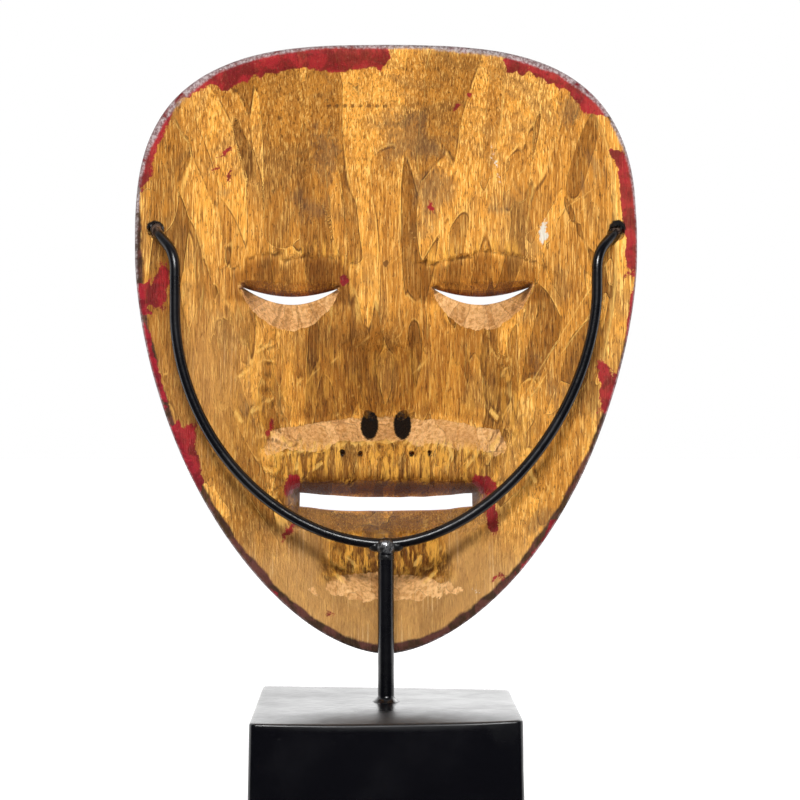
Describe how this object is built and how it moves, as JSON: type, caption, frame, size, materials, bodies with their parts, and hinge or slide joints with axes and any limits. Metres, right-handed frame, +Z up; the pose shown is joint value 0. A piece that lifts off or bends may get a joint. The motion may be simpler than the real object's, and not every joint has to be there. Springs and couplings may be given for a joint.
{
  "type": "carved theatre mask on a display stand",
  "caption": "Hollow carved wooden face mask hung on the hooks of a bent steel rod, welded to a post on a square box base; the mask lifts off forward and up.",
  "frame": {"origin": "on the ground, under the middle of the whole object's box", "axes": "+Z up, the mask faces -Y and its hollow back faces +Y, +X across"},
  "size_m": [0.189, 0.1248, 0.2955],
  "materials": {
    "black_paint": "satin",
    "ground_weld": "ground, bare",
    "carved_wood": "oiled by handling, gouge-cut, with worn red paint on the face and the rim"
  },
  "bodies": {
    "stand": {"base_top_panel": "black_paint", "base_rear_panel": "black_paint", "base_front_panel": "black_paint", "base_left_panel": "black_paint", "base_right_panel": "black_paint", "base_corner_weld_1": "black_paint", "base_corner_weld_2": "black_paint", "base_corner_weld_3": "black_paint", "base_corner_weld_4": "black_paint", "base_top_weld_rear": "black_paint", "base_top_weld_front": "black_paint", "base_top_weld_left": "black_paint", "base_top_weld_right": "black_paint", "post": "black_paint", "post_foot_weld": "black_paint", "cradle_rod": "black_paint", "cradle_weld": "ground_weld"},
    "mask": {"mask_body": "carved_wood"}
  },
  "joints": [
    {"name": "mask_lift_off", "type": "slide", "parent": "stand", "child": "mask", "axis": [0, -0.9397, 0.342], "range_m": [0, 0.08]}
  ]
}
